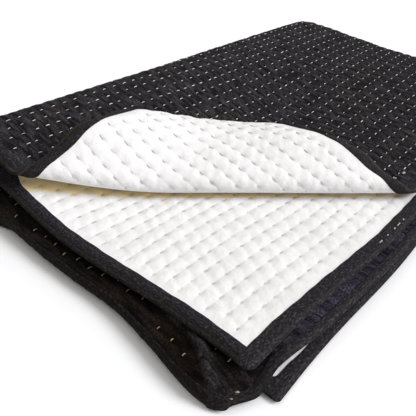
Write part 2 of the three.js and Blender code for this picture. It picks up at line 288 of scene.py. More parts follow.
# The second layer gets a painted warm, yellowish shade under the roll, up to these distances ahead of it at
# the left and right end.
CREAM_Y = 24
CREAM_REACH = (4, 7)
CREAM_SOFT = 2
CREAM_SCALLOP = 5
CREAM_VALLEY = 0.4

# The panels' meshes: stretches of u with their steps, finely divided rows and places within a row space
FACE_STEPS = ((0, 4.4), (1020, 9), (1430, 3), (LENGTH, 1))
FACE_FINE_ROWS = ((0, 25), (46, 49))
FACE_SHARES = (0, 0.07, 0.26, 0.5, 0.74, 0.93)
BACK_STEPS = ((0, 3.4), (470, 20), (870, 6), (1050, 24), (1850, 5), (LENGTH, 1))
BACK_FINE_ROWS = ((0, 19), (30, 49))
BACK_SHARES = (0, 0.035, 0.08, 0.16, 0.3, 0.5, 0.7, 0.84, 0.92, 0.965)
COARSE_SHARES = (0, 0.5)

# Noises over the flat cloth: scale, detail and stretch along and across the rows
WEAVE_ALONG = (60, 3, (3, 24, 1))
WEAVE_ACROSS = (60, 3, (24, 3, 1))
CRUMPLE_NOISE = (75, 3)
CRUMPLE_STRENGTH = 0.6
CRUMPLE_DEEP = 0.003
BLACK_NOISE = (9, 3)
STREAK_NOISE = (10, 2, (17, 2.6, 1))
SLUB_NOISE = (420, 2)
WHITE_NOISE = (14, 3)
PATCH_NOISE = (30, 3, (2, 6, 1))
FLECK_NOISE = (330, 3, (0.7, 1.6, 1))
FOLD_HIGHLIGHT_NOISE = (120, 3)

# Colours at values of these noises. Streaks, slubs and flecks multiply the cloth's own tone.
BLACK_TONES = ((0.3, (0.016, 0.0153, 0.0172)), (0.7, (0.0215, 0.0205, 0.0215)))
STREAK_TONES = ((0.36, (0.3, 0.3, 0.3)), (0.5, (1.05, 1.05, 1.05)), (0.72, (2.2, 2.1, 2.0)))
SLUB_TONES = ((0.4, (0.6, 0.6, 0.6)), (0.68, (2.3, 2.25, 2.25)))
WHITE_TONES = ((0.3, (0.775, 0.766, 0.746)), (0.7, (0.83, 0.821, 0.804)))
BINDING_TONES = ((0.3, (0.0145, 0.0138, 0.0165)), (0.72, (0.024, 0.0228, 0.026)))
FLECK_TONES = ((0.42, (0.65, 0.65, 0.65)), (0.55, (1.2, 1.2, 1.2)), (0.7, (3.4, 3.35, 3.2)))

# Plain colours, and the thread's colours in light, dark and hanging stitches
# Painted shade, mixed into the black face's creases
PAINTED_CREASE_SHADE = (0.003, 0.0024, 0.002)
# Painted brown shade, multiplied in where the third layer hangs and on the outer edge of the left strip; the
# strips on the rolled corner are darkened with it too
PAINTED_SHADE_BROWN = (0.3, 0.18, 0.1)
# Painted bluish light, multiplied into the third layer where it does not hang
PAINTED_BLUE_LIGHT_COLOUR = (1.1, 1.02, 1.38)
# Painted highlight along the strips' folds, a lighter brown
FOLD_HIGHLIGHT_COLOUR = (0.13, 0.112, 0.088)
# Painted shade in the grooves of the reverse's stitches
GROOVE_SHADE_COLOUR = (0.42, 0.41, 0.39)
GROOVE_SHADE_SHARE = 0.45
# Painted warm shade, the yellowish light between the layers under the roll
PAINTED_CREAM_SHADE_COLOUR = (0.97, 0.8, 0.45)
# The face thread's last colour is the painted warm shade of the hanging stitches
FACE_THREAD = ((0.8, 0.79, 0.75), (0.36, 0.35, 0.32), (0.3, 0.22, 0.09))
# The reverse's white thread is painted grey, as the shade of its groove
BACK_THREAD_IN_PAINTED_SHADE = ((0.74, 0.72, 0.68), (0.42, 0.41, 0.38), (0.42, 0.41, 0.38))

# The camera as fitted to the photo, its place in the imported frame
CAMERA_PLACE = (-768.1, -457.4, 486.0)
CAMERA_YAW = math.radians(39.15)
CAMERA_PITCH = math.radians(34.32)
CAMERA_ROLL = math.radians(3.59)
CAMERA_FOCUS = 551.05
FRAME_PIXELS = 416
SENSOR = 36
CLIP_START = 0.01

# Floor, surroundings, and far lights with bearing from +X, height, width, strength and colour
FLOOR_SIZE = 60
FLOOR_COLOUR = (0.97, 0.97, 0.97, 1)
WORLD_STRENGTH = 0.4
WORLD_COLOUR = (1, 0.985, 0.96)
LIGHTS = (
    ("key", -62, 42, 26, 2.0, (0.985, 1, 1.03)),
    ("top", -60, 72, 100, 0.75, (1, 1, 1)),
    ("fill", -60, 14, 40, 0.9, (0.97, 0.91, 1.18)),
)

rng = np.random.default_rng(SEED)


def mix(a, b, t):
    return a + (b - a) * t


def ease(t):
    s = np.clip(t, 0, 1)
    return s * s * (3 - 2 * s)


def rise(t, span):
    """0 up to the start of a span and 1 past its end."""
    start, end = span
    return ease((t - start) / (end - start))


def rise_and_fall(t, stops):
    """0 up to the first stop, 1 between the middle two and 0 again past the last."""
    return rise(t, stops[:2]) * (1 - rise(t, stops[2:]))


def bell(off, wide):
    """1 at the middle, fading over about the given width on either side."""
    return np.exp(-((off / wide) ** 2))


def follow_bends(bends, path):
    """How far ahead and how high a section of bends has come after a path, starting level."""
    left = path
    heading = ahead = height = np.zeros_like(path)
    for turn, radius in bends:
        angle = np.minimum(left / radius, turn)
        ahead = ahead + radius * (np.sin(heading + angle) - np.sin(heading))
        height = height + radius * (np.cos(heading) - np.cos(heading + angle))
        heading = heading + angle
        left = left - radius * angle
    return ahead + left * np.cos(heading), height + left * np.sin(heading)


def hairpin_y(u):
    return mix(*HAIRPIN_Y, u / LENGTH)


def across_fold(u, v):
    """The y of a point across the lengthwise fold and its share of the way from outer to inner layer."""
    past = v - mix(*HAIRPIN_V, u / LENGTH)
    angle = np.clip(past / HAIRPIN_RADIUS, -np.pi / 2, np.pi / 2)
    flat = np.maximum(0, np.abs(past) - HAIRPIN_HALF)
    drawn = CORNER_IN * rise_and_fall(u, CORNER_U) * (1 - ease(flat / CORNER_REACH))
    return hairpin_y(u) + HAIRPIN_RADIUS * np.cos(angle) - flat - drawn, (1 + np.sin(angle)) / 2


def layer_height(layer, x, y, fold_y):
    near, left_high, right_high, corner = layer
    right = ease((x - RISE_FROM) / (FOLD_X - RISE_FROM))
    left = ease((y - fold_y + RISE_SPAN) / RISE_SPAN)
    return mix(mix(near, left_high, left), mix(right_high, corner, left), right)


def upper_height(x, y, inner, fold_y):
    return mix(layer_height(TOP, x, y, fold_y), layer_height(SECOND, x, y, fold_y), inner)


def lower_height(x, y, inner, fold_y):
    return mix(layer_height(BOTTOM, x, y, fold_y), layer_height(THIRD, x, y, fold_y), inner)


def pull_at(y):
    return 1 - ease(np.abs(y - PULL_Y) / PULL_SPAN)


def pulled(x, y):
    return x - PULL_SIZE * pull_at(y) * (1 - ease(x / PULL_REACH))


def drop_start(y):
    return mix(DROP_X, PULL_X, pull_at(y))


def drop_length(turn, z):
    """Length of the dropped cloth when its bound edge just clears the floor."""
    under = BINDING_OUT * np.abs(np.cos(turn)) + BINDING_EDGE * np.sin(turn) + DROP_CLEAR
    return DROP_RADIUS * turn + (z - under - DROP_RADIUS * (1 - np.cos(turn))) / np.sin(turn)


def dropped(x, y, z, edge_x, fold_y):
    """The layer that hangs over the left front edge, at x if it went on level, its edge at edge_x."""
    free_turn = DROP_TURN - DROP_SLACK * np.maximum(z - THIRD[0], 0)
    turn = mix(free_turn, PULL_TURN, pull_at(y))
    start = drop_start(y)
    share = ease((fold_y - y) / DROP_FADE)
    path = np.maximum(start - x, 0) * mix(1, drop_length(turn, z) / (start - edge_x), share)
    ahead, height = follow_bends(((turn * share, DROP_RADIUS),), path)
    return start - ahead, y + tuck_at(start - ahead, y), z - height


def tuck_at(x, y):
    """How far the third layer is drawn back along its edge at the near corner."""
    return TUCK_SIZE * rise(x, TUCK_SPAN) * (1 - ease((y - EDGE_Y) / TUCK_REACH))


def flare_at(x, y):
    """How far the third layer sticks out at the right front."""
    return FLARE_SIZE * rise_and_fall(x, FLARE_SPAN) * (1 - ease(y / FLARE_REACH))


def sag_at(x, y):
    return SAG_SIZE * (1 - rise(x, SAG_SPAN)) * (1 - ease((y - EDGE_Y) / SAG_REACH))


def binding_lift(u, v):
    edge = np.minimum(v, LENGTH - u)
    return BINDING_PROUD * (1 - ease((edge - BINDING_WIDTH) / LIFT_REACH))


def waved(x, y, z, inner):
    swing = np.sin(2 * np.pi * y / WAVE_LENGTH + WAVE_PHASE * inner)
    sway = np.sin(2 * np.pi * np.minimum(x, FOLD_X) / WAVE_LENGTH + WAVE_PHASE * inner)
    wave_x = x + WAVE_SIZE * swing * (1 - ease(x / WAVE_REACH))
    wave_y = y + WAVE_SIZE * sway * (1 - ease(y / WAVE_REACH))
    return np.stack([wave_x, wave_y, z], -1)


def folded_point(u, v):
    """The folded throw without its rolled corner: the middle of the cloth."""
    y, inner = across_fold(u, v)
    fold_y = hairpin_y(u)
    top = upper_height(FOLD_X, y, inner, fold_y)
    low = lower_height(FOLD_X, y, inner, fold_y)
    edge = mix(*EDGE_X, inner)
    radius = (top - low) / 2
    run = FOLD_X - edge
    turn_end = run + radius * np.pi
    angle = np.clip((u - run) / radius, 0, np.pi)
    level = FOLD_X - (u - turn_end)
    under_x = mix(level, pulled(level, y), inner)
    under_z = lower_height(under_x, y, inner, fold_y) - sag_at(under_x, y) * (inner == 1)
    edge_x = pulled(FOLD_X - (LENGTH - turn_end), y)
    drop_x, drop_y, drop_z = dropped(under_x, y, under_z, edge_x, fold_y)
    drops = (inner == 1) & (under_x < drop_start(y))
    lift = (1 - inner) * binding_lift(u, v)
    under_z = np.where(drops, drop_z, under_z + lift)
    level_y = y + (tuck_at(under_x, y) - flare_at(under_x, y)) * (inner == 1)
    under_y = np.where(drops, drop_y, level_y)
    under_x = np.where(drops, drop_x, under_x)
    on_top = u <= run
    turning = u < turn_end
    y = np.where(turning, y, under_y)
    turn_x = FOLD_X + radius * np.sin(angle)
    turn_z = (top + low) / 2 + radius * np.cos(angle) + lift * ease(angle / np.pi)
    x = np.where(on_top, edge + u, np.where(turning, turn_x, under_x))
    z = np.where(on_top, upper_height(edge + u, y, inner, fold_y), np.where(turning, turn_z, under_z))
    return waved(x, y, z, inner)


def rolled_lift(u, v, past):
    """How far the rolled corner lies higher than its roll, beside its bound edges."""
    side = np.minimum(u, v)
    near = np.maximum(1 - side / CURL_REACH, 0)
    swell = SWELL_SIZE * rise_and_fall(side, SWELL_SIDE) * rise_and_fall(past, SWELL_PAST)
    left, right = (drop * rise_and_fall(past, stops) for drop, stops in zip(CURL_DROP, CURL_PAST))
    curl = np.where(u < v, left, right) + CREST_DROP * rise_and_fall(past, CREST_PAST)
    return swell - near * near * curl


def middle_point(u, v):
    """The middle of the cloth at u and v, with the top corner rolled back."""
    past = np.maximum(FLAP * (1 - u / CREASE_U - v / CREASE_V), 0)
    ahead, height = follow_bends(ROLL, past)
    shift = past - ahead
    point = folded_point(u + shift * CREASE_V / CREASE_SLANT, v + shift * CREASE_U / CREASE_SLANT)
    point[..., 2] += height + rolled_lift(u, v, past)
    return point


def face_normal(u, v):
    along = middle_point(u + PROBE, v) - middle_point(u - PROBE, v)
    across = middle_point(u, v + PROBE) - middle_point(u, v - PROBE)
    normal = np.cross(along, across)
    return normal / np.linalg.norm(normal, axis=-1, keepdims=True)


def rounded(u, v):
    """Flat places with the throw's square corners rounded off."""
    for (end, far), radius in CORNER_ROUND.items():
        a = np.maximum(radius - (LENGTH - u if end else u), 0)
        b = np.maximum(radius - (WIDTH - v if far else v), 0)
        shrink = 1 - np.maximum(a, b) / np.maximum(np.hypot(a, b), PROBE)
        both = (a > 0) & (b > 0)
        u = u + np.where(both, a * shrink, 0) * (-1 if end else 1)
        v = v + np.where(both, b * shrink, 0) * (-1 if far else 1)
    return u, v


def cloth_point(u, v, offset):
    """A point at a distance from the middle of the cloth, towards the black face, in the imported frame."""
    u, v = rounded(u, v)
    return middle_point(u, v) + face_normal(u, v) * offset[..., None] - CENTRE


class Lattice:
    """Smooth uneven relief over the flat cloth, from random heights on a lattice."""

    def __init__(self, step_u, step_v):
        self.step = (step_u, step_v)
        self.values = rng.uniform(-1, 1, (int(LENGTH / step_u) + 3, int(WIDTH / step_v) + 3))

    def __call__(self, u, v):
        a = np.clip(u / self.step[0], 0, self.values.shape[0] - 2)
        b = np.clip(v / self.step[1], 0, self.values.shape[1] - 2)
        i, j = a.astype(int), b.astype(int)
        s, t = ease(a - i), ease(b - j)
        low = mix(self.values[i, j], self.values[i + 1, j], s)
        high = mix(self.values[i, j + 1], self.values[i + 1, j + 1], s)
        return mix(low, high, t)


class Rows:
    """The stitch rows: how each wanders, and where its stitches start and end on either side."""

    def __init__(self):
        count = ROW_SPACES + 1
        self.size = rng.uniform(*WOBBLE_SIZE, count)
        self.size[[0, -1]] = 0
        self.length = rng.uniform(*WOBBLE_LENGTH, count)
        self.phase = rng.uniform(0, 2 * np.pi, count)
        self.drift = Lattice(*DRIFT_STEP)
        face = [self.stitches(row) for row in range(count)]
        reverse = [self.between(spans) for spans in face]
        self.spans = {
            FACE: [self.in_sight(spans) for spans in face],
            REVERSE: [self.in_sight(spans) for spans in reverse],
        }

    def stitches(self, row):
        """Stitches of a row, with those of every other row half a repeat further on."""
        period = mix(*STITCH_PERIOD, row / ROW_SPACES)
        steps = int(LENGTH / period)
        jitter = rng.uniform(-STITCH_JITTER, STITCH_JITTER, steps)
        starts = period * (np.arange(steps) + row % 2 / 2 + jitter) + ROW_START
        ends = starts + STITCH_FACE * rng.uniform(*STITCH_VARY, steps)
        return np.stack([starts, ends], -1)

    def in_sight(self, spans):
        """The stitches that the bindings leave free."""
        clear = BINDING_WIDTH + SEAM_CLEAR
        return spans[(spans[:, 0] > clear) & (spans[:, 1] < LENGTH - clear)]

    def between(self, spans):
        """The part that shows of the thread between two stitches, on the other side."""
        middle = (spans[:-1, 1] + spans[1:, 0]) / 2
        half = STITCH_BACK / 2 * rng.uniform(*DASH_VARY, len(middle))
        return np.stack([middle - half, middle + half], -1)

    def wander(self, u, row):
        return self.size[row] * np.sin(2 * np.pi * u / self.length[row] + self.phase[row])

    def v_of(self, u, r):
        """The v of a place r counted in rows from the binding."""
        low = np.clip(np.floor(r), 0, ROW_SPACES - 1).astype(int)
        part = np.clip(r - low, 0, 1)
        wander = mix(self.wander(u, low), self.wander(u, low + 1), part)
        straight = BINDING_WIDTH + r * ROW_PITCH
        free = np.clip(np.minimum(r, ROW_SPACES - r) / DRIFT_ROWS, 0, 1)
        return straight + wander + DRIFT_SIZE * free * self.drift(u, straight)

    def along(self, u, row, side, soft):
        """1 on the row's stitches, falling to 0 at a distance soft from their ends."""
        spans = self.spans[side][row]
        after = np.searchsorted(spans[:, 0], u)
        best = np.full_like(u, np.inf)
        for index in (after - 1, after):
            start, end = spans[np.clip(index, 0, len(spans) - 1)].T
            best = np.minimum(best, np.maximum(np.maximum(start - u, u - end), 0))
        return 1 - ease(best / soft)

    def crease(self, u, cell, part, side):
        """1 on the creases that join the stitches of two rows, at a share of the way from row to row."""
        here = self.spans[side][cell].mean(1)
        there = self.spans[side][cell + 1].mean(1)
        ahead = np.clip(np.searchsorted(there, here), 1, len(there) - 1)
        both = [mix(here, there[ahead - 1], part), mix(here, there[ahead], part)]
        lines = np.sort(np.concatenate(both))
        after = np.clip(np.searchsorted(lines, u), 1, len(lines) - 1)
        off = np.minimum(np.abs(u - lines[after - 1]), np.abs(u - lines[after]))
        return bell(off, CREASE_WIDE)


ROWS = Rows()
CRINKLE_FIELDS = {
    side: [(Lattice(step_u, step_v), size) for step_u, step_v, size in fields]
    for side, fields in CRINKLES.items()
}


def edge_distance(u, v):
    return np.minimum(np.minimum(u, LENGTH - u), np.minimum(v, WIDTH - v))


def free_share(u, v):
    """How far the cloth is free of the binding, from 0 at the binding to 1."""
    return np.clip((edge_distance(u, v) - BINDING_WIDTH) / PUFF_RISE, 0, 1)


def cloth_half(u, v):
    """Distance of the cloth's surface from its middle. It is pressed thin in the binding's fold."""
    return CLOTH_HALF * mix(PRESSED, 1, np.clip(2 * edge_distance(u, v) / BINDING_WIDTH, 0, 1))


def hung_share(u, v):
    """1 on the part of the third layer that hangs at the left front, 0 away from it."""
    along = mix(HUNG_AT_CORNER, 1, ease((WIDTH - v) / HUNG_CORNER))
    return ease((u - LENGTH + HUNG_WIDE) / HUNG_SOFT) * along * (v > WIDTH / 2)


def on_third_layer(u, v):
    return (u > LENGTH / 2) & (v > WIDTH / 2)


def pleat(u, v):
    """How far a place lies on the pleat of the hanging part, and in the hollow below the pleat."""
    side = WIDTH - v
    past = LENGTH - u - mix(*PLEAT_FROM_END, rise(side, PLEAT_SIDE))
    fade = 1 - rise(side, PLEAT_FADE)
    return fade * rise_and_fall(past, PLEAT_CREST), fade * rise_and_fall(past, PLEAT_HOLLOW)


def relief(u, r, v, side):
    """Height of the quilted surface over its flat place, and the shade painted in its creases or in its
    stitches' grooves, on a grid.
    """
    line_u = u[:, 0]
    up = rise(side * face_normal(u, v)[..., 2], PUFF_TILT)
    puff = np.abs(np.sin(np.pi * np.clip(r, 0, ROW_SPACES))) ** PUFF_ROUND
    crinkles = sum(size * field(u, v) for field, size in CRINKLE_FIELDS[side])
    loose = np.where(on_third_layer(u, v) & (side == FACE), LOOSE_PUFF, 1)
    height = loose * puff * PUFF_HEIGHT[side] + mix(CRINKLE_SEWN, 1, puff) * crinkles
    painted_shade = np.zeros_like(u)
    for j, place in enumerate(r[0]):
        row = int(np.clip(round(place), 0, ROW_SPACES))
        cell = int(np.clip(math.floor(place), 0, ROW_SPACES - 1))
        part = min(max(place - cell, 0), 1)
        off = (place - row) * ROW_PITCH
        near = ROWS.along(line_u, row, side, GROOVE_SOFT)
        wide = ROWS.along(line_u, row, side, DIMPLE_SOFT)
        steep = mix(CREASE_MIDDLE, 1, abs(2 * part - 1))
        slanted = steep * ROWS.crease(line_u, cell, part, side)
        crease = np.where(loose[:, j] > 1, ROWS.crease(line_u, cell, 0, side), slanted)
        height[:, j] -= loose[:, j] * CREASE_DEEP[side] * crease
        height[:, j] -= DIMPLE_DEEP[side] * wide * bell(off, DIMPLE_WIDE)
        height[:, j] -= GROOVE_DEEP[side] * near * bell(off, GROOVE_WIDE)
        # The face's creases and the reverse's stitch grooves also get painted shade
        painted_shade[:, j] = crease if side == FACE else near * bell(off, GROOVE_SHADE_WIDE)
    free = free_share(u, v) * up
    return height * free, painted_shade * free


def hung_shade(u, v):
    """Painted shade on the hanging part: most beside its binding and in the hollow, least on the pleat, where
    painted light lifts it.
    """
    crest, hollow = pleat(u, v)
    shade = HUNG_PAINTED_SHADE - PLEAT_PAINTED_LIGHT * crest + PLEAT_PAINTED_SHADE * hollow
    seam = bell(edge_distance(u, v) - BINDING_WIDTH, HUNG_SEAM_SHADE)
    return hung_share(u, v) * np.maximum(shade, seam)


def painted_cream_share(u, r, v):
    """How much painted warm shade the reverse gets: on the second layer in front of the roll, in scallops
    from row to row.
    """
    point = folded_point(u, v)
    along = (point[..., 0] - EDGE_X[0]) / CREASE_U
    across = (point[..., 1] - CREAM_Y) / CREASE_V
    ahead = FLAP * (1 - along - across)
    valley = 1 - np.abs(np.sin(np.pi * r))
    reach = mix(*CREAM_REACH, np.clip(along, 0, 1)) + CREAM_SCALLOP * (valley - CREAM_VALLEY)
    second = (u < CREASE_U) & (v > WIDTH / 2)
    return second * (1 - ease((ahead - reach) / CREAM_SOFT + 0.5))


def spread(stops):
    """Places from stop to stop, each stretch in steps of about its own size."""
    places = [np.array([stops[0][0]])]
    for (start, step), (end, _) in zip(stops, stops[1:]):
        count = max(1, round((end - start) / step))
        places.append(np.linspace(start, end, count + 1)[1:])
    return np.concatenate(places)


def row_places(fine_spans, fine):
    """Places across the rows: fine shares of a row space in some rows, coarse ones elsewhere."""
    edge = BINDING_WIDTH / ROW_PITCH
    places = [-edge, -edge / 2]
    for row in range(ROW_SPACES):
        shares = fine if any(low <= row < high for low, high in fine_spans) else COARSE_SHARES
        places += [row + share for share in shares]
    return np.array(places + [ROW_SPACES, ROW_SPACES + edge / 2, ROW_SPACES + edge])


def mesh_object(name, points, faces, material, layers=None, uv=None):
    """A smooth mesh from points in millimetres, with point layers and flat coordinates in metres."""
    mesh = bpy.data.meshes.new(name)
    mesh.from_pydata((points * MM).tolist(), [], faces.tolist())
    mesh.polygons.foreach_set("use_smooth", np.ones(len(mesh.polygons), bool))
    for layer, values in (layers or {}).items():
        attribute = mesh.attributes.new(layer, "FLOAT", "POINT")
        attribute.data.foreach_set("value", values.astype(np.float32).ravel())
    if uv is not None:
        corners = np.empty(len(mesh.loops), int)
        mesh.loops.foreach_get("vertex_index", corners)
        flat = mesh.uv_layers.new(name="flat")
        flat.data.foreach_set("uv", (uv[corners] * MM).astype(np.float32).ravel())
    mesh.materials.append(material)
    mesh.update()
    piece = bpy.data.objects.new(name, mesh)
    bpy.context.scene.collection.objects.link(piece)
    return piece


def grid_faces(rows, columns, flip):
    index = np.arange(rows * columns).reshape(rows, columns)
    quads = [index[:-1, :-1], index[1:, :-1], index[1:, 1:], index[:-1, 1:]]
    if flip:
        quads.reverse()
    return np.stack(quads, -1).reshape(-1, 4)


def panel(name, side, u_stops, places, material):
    """One cloth of the throw as a fine quilted sheet, its black face or its reverse."""
    u, r = np.meshgrid(spread(u_stops), places, indexing="ij")
    v = ROWS.v_of(u, r)
    height, painted_shade = relief(u, r, v, side)
    if side == FACE:
        height += PLEAT_HIGH * pleat(u, v)[0] * free_share(u, v)
        # Painted bluish light on the third layer, not where it hangs
        blue = on_third_layer(u, v) * (1 - hung_share(u, v))
        # The hanging part gets painted brown shade, lightened on the pleat by painted light
        layers = {"crease": painted_shade, "hung_shade_paint": hung_shade(u, v), "blue": blue}
    else:
        # Painted warm shade on the second layer under the roll
        layers = {"dash": painted_shade, "cream": painted_cream_share(u, r, v)}
    points = cloth_point(u, v, side * (cloth_half(u, v) + height)).reshape(-1, 3)
    faces = grid_faces(*u.shape, side == REVERSE)
    flat = np.stack([u.ravel(), v.ravel()], -1)
    return mesh_object(name, points, faces, material, layers, flat)


def thread_table(side):
    """Start, end, row, height over a stitch and share of its thickness, for every thread on one side."""
    table = [(start, end, row, 0, 1) for row in range(1, ROW_SPACES) for start, end in ROWS.spans[side][row]]
    for start, end, v, lift, size in LOOSE_THREAD[side]:
        table.append((start, end, (v - BINDING_WIDTH) / ROW_PITCH, lift, size))
    return np.array(table).T


def tube_faces(rings, sides, count, flip):
    """The sides of a number of tubes with like rings of points."""
    index = np.arange(rings * sides).reshape(rings, sides)
    onward = np.roll(index, -1, 1)
    quads = [index[:-1], index[1:], onward[1:], onward[:-1]]
    if flip:
        quads.reverse()
    tube = np.stack(quads, -1).reshape(-1, 4)
    return (tube[None] + index.size * np.arange(count)[:, None, None]).reshape(-1, 4)


def stitches(name, side, material):
    """All running stitches on one side, each a short bent thread with round section."""
    shares = np.array(THREAD_SHARES)
    bow = np.array(THREAD_BOW)[:, None]
    taper = np.array(THREAD_TAPER)[:, None]
    turns = np.arange(THREAD_SIDES) * 2 * np.pi / THREAD_SIDES
    start, end, row, lift, size = thread_table(side)
    count = len(start)
    tilt = rng.uniform(-STITCH_TILT, STITCH_TILT, count)
    thick = (size * rng.uniform(*THREAD_VARY, count))[:, None, None]
    # Stitches on the hanging part get a painted warm shade
    hung_shade_paint = (row > ROW_SPACES / 2) & (start > LENGTH - HUNG_STITCH)
    shade = np.where(hung_shade_paint, rng.uniform(*PAINTED_SHADE_HUNG, count), rng.uniform(*SHADE_FREE, count))
    u_line = mix(start[:, None], end[:, None], shares)
    v_line = ROWS.v_of(u_line, row[:, None] * np.ones_like(u_line))
    v_line += tilt[:, None] * (u_line - (start + end)[:, None] / 2)
    shape = (count, len(shares), len(turns))
    u = np.broadcast_to(u_line[..., None], shape)
    v = v_line[..., None] + THREAD_WIDE[side] * thick * taper * np.cos(turns)
    sunk = CLOTH_HALF - DIMPLE_DEEP[side] - GROOVE_DEEP[side] * THREAD_SUNK
    depth = sunk + lift[:, None, None] + bow + THREAD_HIGH * thick * taper * np.sin(turns)
    points = cloth_point(u, v, np.broadcast_to(side * depth, shape)).reshape(-1, 3)
    faces = tube_faces(len(shares), len(turns), count, side == REVERSE)
    layers = {"shade": np.repeat(shade, len(shares) * len(turns))}
    return mesh_object(name, points, faces, material, layers)


def strip_profile():
    """The section of a binding: distance in from the cloth's edge and height over the cloth's middle."""
    flat = [(d, CLOTH_HALF + height) for d, height in STRIP_SECTION]
    turns = np.linspace(math.pi / 2, 0, NOSE_POINTS)
    reach = NOSE_START + BINDING_EDGE
    nose = [(NOSE_START - reach * math.cos(turn), STRIP_NOSE * math.sin(turn)) for turn in turns]
    half = flat + nose
    return np.array(half + [(d, -o) for d, o in reversed(half[:-1])])


def strip_places(along_u):
    """Places along a strip, close together at its rounded ends, and the share of its thickness at each."""
    if along_u:
        low, high = -BINDING_EDGE, LENGTH + BINDING_EDGE
    else:
        low, high = BINDING_WIDTH - JOINT_UNDER, WIDTH - BINDING_WIDTH + JOINT_UNDER
    cap = CAP_LONG if along_u else CAP_SHORT
    turns = np.linspace(0, np.pi / 2, CAP_STEPS)[1:]
    body = np.linspace(low + cap, high - cap, round((high - low) / STRIP_STEP))
    first = (low + cap - cap * np.sin(turns))[::-1]
    last = high - cap + cap * np.sin(turns)
    thin = np.concatenate([np.cos(turns)[::-1], np.ones(len(body)), np.cos(turns)])
    return np.concatenate([first, body, last]), thin


def strip_share(name, s):
    """The share of its full width that a strip has along its length."""
    far_share, near_share, span = STRIP_SHARE[name]
    near_end = np.clip((s - span[2]) / SHARE_TAPER + 1, 0, 1)
    return mix(1, mix(far_share, near_share, near_end), rise_and_fall(s, span))


def strip_marks(name, u, v, d, share):
    """The highlight painted along a strip's fold, and how dark it looks: painted shade where it hangs and on
    the left strip's outer edge, and darker on the rolled corner.
    """
    rolled = u / CREASE_U + v / CREASE_V < 1
    # A highlight painted along the fold, and the rolled corner a little lighter all over
    line = bell(d - FOLD_HIGHLIGHT_LINE, FOLD_HIGHLIGHT_WIDE)
    wear = np.where(rolled, mix(ROLLED_LIGHTER, 1, line), FLAT_FOLD_HIGHLIGHT * line)
    hung_shade_paint = hung_share(u, v) * mix(*STRIP_HUNG_PAINTED_SHADE, rise(d / share, LIP_SPAN))
    nose = NOSE_PAINTED_SHADE[name] * (1 - rise(d, NOSE_SPAN))
    dark = np.maximum(np.where(rolled, ROLLED_DARK, hung_shade_paint), nose)
    return {"wear": wear, "dark": dark}


def irregular(places, lengths, size):
    """An uneven wave along a line, of several lengths with their own phases."""
    waves = [np.sin(2 * np.pi * places / length + rng.uniform(0, 2 * np.pi)) for length in lengths]
    return size * sum(waves) / len(lengths)


def binding(name, along_u, edge, inward, material):
    """A strip folded over one edge of the throw, puckered along its seam and closed at its ends."""
    profile = strip_profile()
    places, thin = strip_places(along_u)
    s, d = np.meshgrid(places, profile[:, 0], indexing="ij")
    o = np.broadcast_to(profile[:, 1], s.shape).copy()
    facing = np.clip((o + CLOTH_HALF) / (2 * CLOTH_HALF), 0, 1)
    reverse, face = (irregular(s, lengths, PUCKER_SIZE) for lengths in PUCKER_LENGTHS)
    pucker = np.maximum(mix(reverse, face, facing), PUCKER_LOW)
    o += np.sign(o) * pucker * bell(d - PUCKER_MIDDLE, PUCKER_WIDE)
    share = strip_share(name, s)
    wavy = irregular(s, EDGE_LENGTHS, EDGE_SIZE) * rise(d, EDGE_SPAN)
    d = np.where(d > 0, d * share, d) + wavy
    o = o * thin[:, None]
    across = edge + inward * d
    u, v = (s, across) if along_u else (across, s)
    points = cloth_point(u, v, o).reshape(-1, 3)
    faces = grid_faces(*s.shape, (inward > 0) == along_u)
    strip = np.stack([s.ravel(), (np.sign(o) * d).ravel()], -1)
    return mesh_object(name, points, faces, material, strip_marks(name, u, v, d, share), strip)


def add_node(tree, kind, inputs=None, **settings):
    """A shader node with its settings, and its inputs as values or links."""
    node = tree.nodes.new(kind)
    for key, value in settings.items():
        setattr(node, key, value)
    for key, value in (inputs or {}).items():
        if isinstance(value, bpy.types.NodeSocket):
            tree.links.new(value, node.inputs[key])
        else:
            node.inputs[key].default_value = value
    return node


def new_material(name, roughness, sheen, specular):
    material = bpy.data.materials.new(name)
    material.use_nodes = True
    shader = material.node_tree.nodes["Principled BSDF"]
    shader.inputs["Roughness"].default_value = roughness
    shader.inputs["Sheen Weight"].default_value = sheen
    shader.inputs["Specular IOR Level"].default_value = specular
    return material, material.node_tree, shader


def flat_noise(tree, scale, detail=2.0, stretch=(1, 1, 1)):
    """Noise that follows the flat cloth, stretched along or across the rows."""
    place = add_node(tree, "ShaderNodeUVMap", uv_map="flat")
    mapped = add_node(tree, "ShaderNodeMapping", {"Vector": place.outputs[0], "Scale": stretch})
    noise = add_node(
        tree, "ShaderNodeTexNoise", {"Vector": mapped.outputs[0], "Scale": scale, "Detail": detail}
    )
    return noise.outputs["Fac"]


def math_node(tree, operation, a, b):
    return add_node(tree, "ShaderNodeMath", {0: a, 1: b}, operation=operation).outputs[0]


def point_layer(tree, name):
    """The value of one of the mesh's point layers."""
    return add_node(tree, "ShaderNodeAttribute", attribute_name=name).outputs["Fac"]


def ramp(tree, value, stops):
    node = add_node(tree, "ShaderNodeValToRGB", {"Fac": value})
    elements = node.color_ramp.elements
    while len(elements) < len(stops):
        elements.new(0.5)
    for element, (place, colour) in zip(elements, stops):
        element.position = place
        element.color = (*colour, 1)
    return node.outputs["Color"]


def mix_colour(tree, factor, a, b, blend="MIX"):
    node = add_node(tree, "ShaderNodeMix", data_type="RGBA", blend_type=blend)
    for socket, value in ((node.inputs[0], factor), (node.inputs[6], a), (node.inputs[7], b)):
        if isinstance(value, bpy.types.NodeSocket):
            tree.links.new(value, socket)
        elif isinstance(value, tuple):
            socket.default_value = (*value, 1)
        else:
            socket.default_value = value
    return node.outputs[2]


